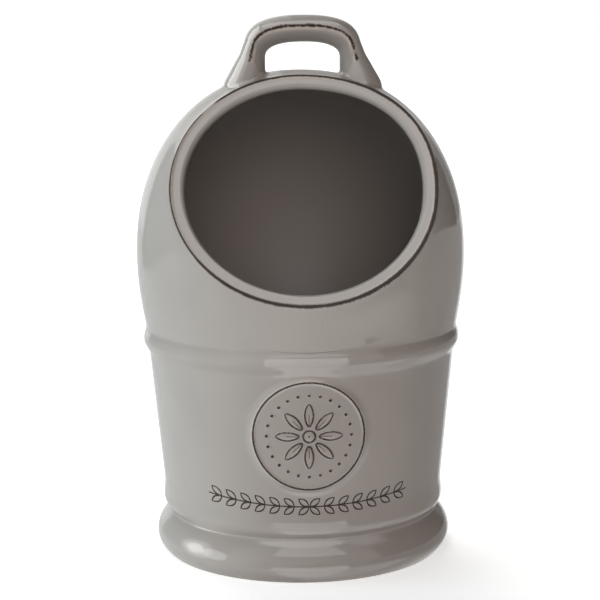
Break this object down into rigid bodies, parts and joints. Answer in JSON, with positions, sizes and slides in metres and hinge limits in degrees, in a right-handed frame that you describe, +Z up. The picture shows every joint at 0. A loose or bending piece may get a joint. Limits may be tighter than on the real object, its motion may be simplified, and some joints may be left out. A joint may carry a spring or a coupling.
{
  "type": "salt pig",
  "caption": "Hooded stoneware jar for salt with a slanted round mouth, a lug handle on the crown, a waist band and a moulded foot.",
  "frame": {"origin": "centre of the base, on the surface that the jar stands on", "axes": "+Z up through the jar's axis, -Y towards the front with the mouth, +X to the right seen from the front"},
  "size_m": [0.1196, 0.1201, 0.1954],
  "materials": {
    "grey_glaze": "glossy warm grey glaze over stoneware, with fine pinholes",
    "worn_glaze": "the same glaze, broken to dark brown along the raised edges"
  },
  "bodies": {
    "root": {"foot_ring": "grey_glaze", "foot_bead": "grey_glaze", "bucket_wall": "grey_glaze", "waist_band": "grey_glaze", "hood": "grey_glaze", "mouth_rim": "worn_glaze", "handle": "worn_glaze", "medallion": "worn_glaze"}
  },
  "joints": []
}
